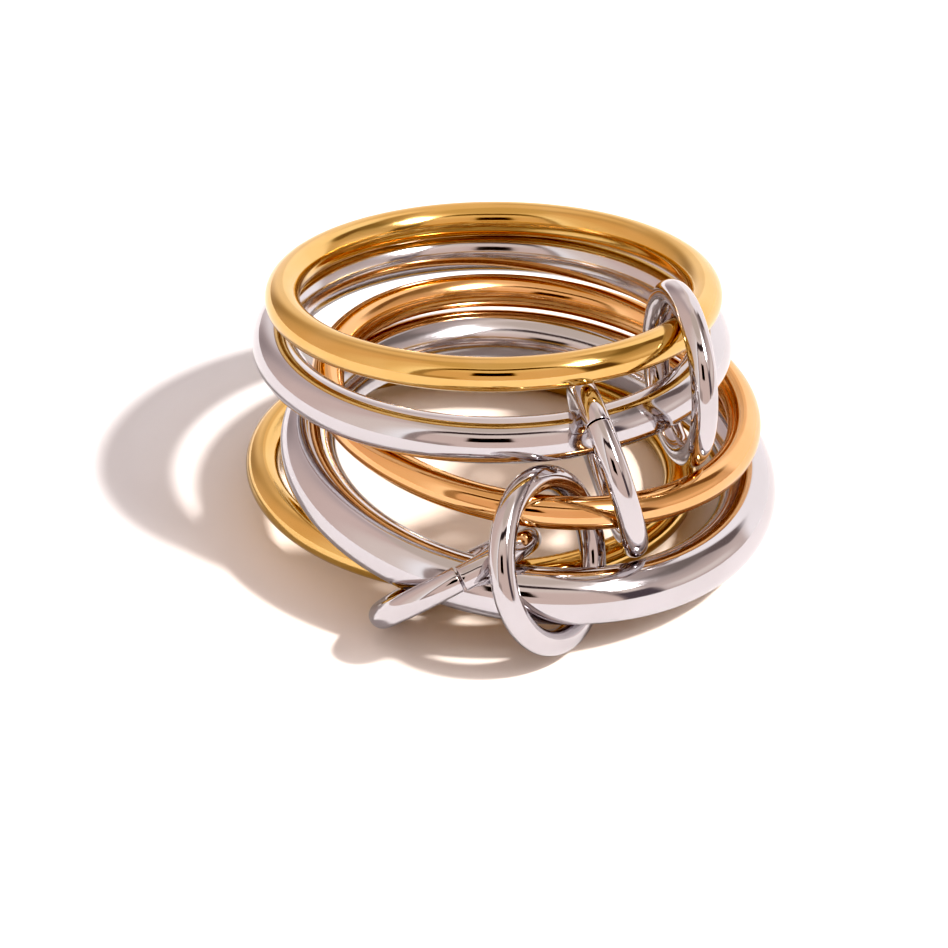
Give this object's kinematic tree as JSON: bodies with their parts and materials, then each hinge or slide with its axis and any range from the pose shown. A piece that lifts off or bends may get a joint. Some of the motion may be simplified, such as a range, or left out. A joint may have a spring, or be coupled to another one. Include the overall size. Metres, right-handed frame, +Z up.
{
  "type": "stackable ring",
  "caption": "Stackable finger ring of plain round-wire bands in mixed metal colours, joined one to the next by small wire links, lying as it rests on a surface.",
  "frame": {"origin": "on the surface that the stack lies on, under the middle of its bounding box", "axes": "+Z up from the surface, +Y towards the back, where the bands lie close together, +X to the right"},
  "size_m": [0.0238, 0.0266, 0.0134],
  "materials": {
    "yellow_gold": "mirror-polished yellow gold",
    "rose_gold": "mirror-polished rose gold",
    "silver": "mirror-polished silver",
    "link_silver": "mirror-polished silver"
  },
  "bodies": {
    "root": {"band_base_yellow": "yellow_gold", "band_heavy_silver": "silver", "band_middle_rose": "rose_gold", "band_upper_silver": "silver", "band_top_yellow": "yellow_gold", "link_lower": "link_silver", "link_front": "link_silver", "link_centre": "link_silver", "link_right": "link_silver"}
  },
  "joints": []
}
